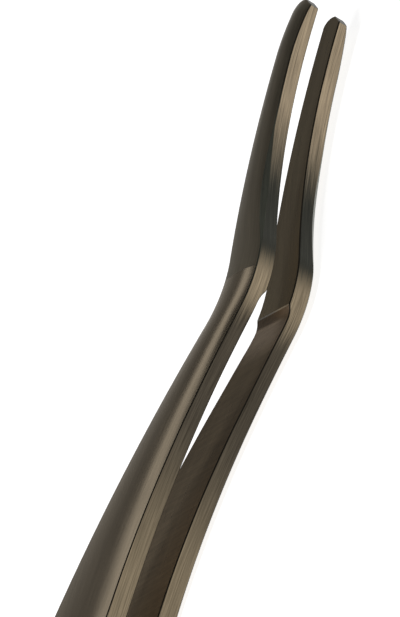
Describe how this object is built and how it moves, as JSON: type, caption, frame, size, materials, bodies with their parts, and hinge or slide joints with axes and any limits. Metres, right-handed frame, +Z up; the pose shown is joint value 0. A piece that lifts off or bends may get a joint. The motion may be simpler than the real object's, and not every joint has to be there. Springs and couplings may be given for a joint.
{
  "type": "print tongs",
  "caption": "Springy steel tongs with bent, stepped tips, for lifting and turning photographic prints in darkroom trays.",
  "frame": {"origin": "middle of the flat land on the lower (right) arm's outer face, which the tongs lie on", "axes": "+X from the heel towards the tips, +Z up and the way the arms open, +Y the way the tips bend"},
  "size_m": [0.1636, 0.0139, 0.0095],
  "materials": {
    "arm_steel": "satin, brushed along the arms, warm gunmetal tone",
    "spacer_steel": "satin, brushed edges, warm gunmetal tone",
    "rivet_steel": "ground flush, slightly brighter than the arms"
  },
  "bodies": {
    "heel": {"right_heel": "arm_steel", "left_heel": "arm_steel", "heel_spacer": "spacer_steel", "heel_rivets": "rivet_steel"},
    "right_arm": {"right_arm": "arm_steel"},
    "left_arm": {"left_arm": "arm_steel"}
  },
  "joints": [
    {"name": "right_arm_flex", "type": "hinge", "parent": "heel", "child": "right_arm", "pos_m": [-0.041, 0, 0.00265], "axis": [0, -1, 0], "range_deg": [0, 0.62], "stiffness_Nm_per_rad": 22},
    {"name": "left_arm_flex", "type": "hinge", "parent": "heel", "child": "left_arm", "pos_m": [-0.041, 0, 0.00685], "axis": [0, 1, 0], "range_deg": [0, 0.62], "stiffness_Nm_per_rad": 22}
  ],
  "couplings": [
    {"joint": "left_arm_flex", "follows": "right_arm_flex", "ratio": 1}
  ]
}
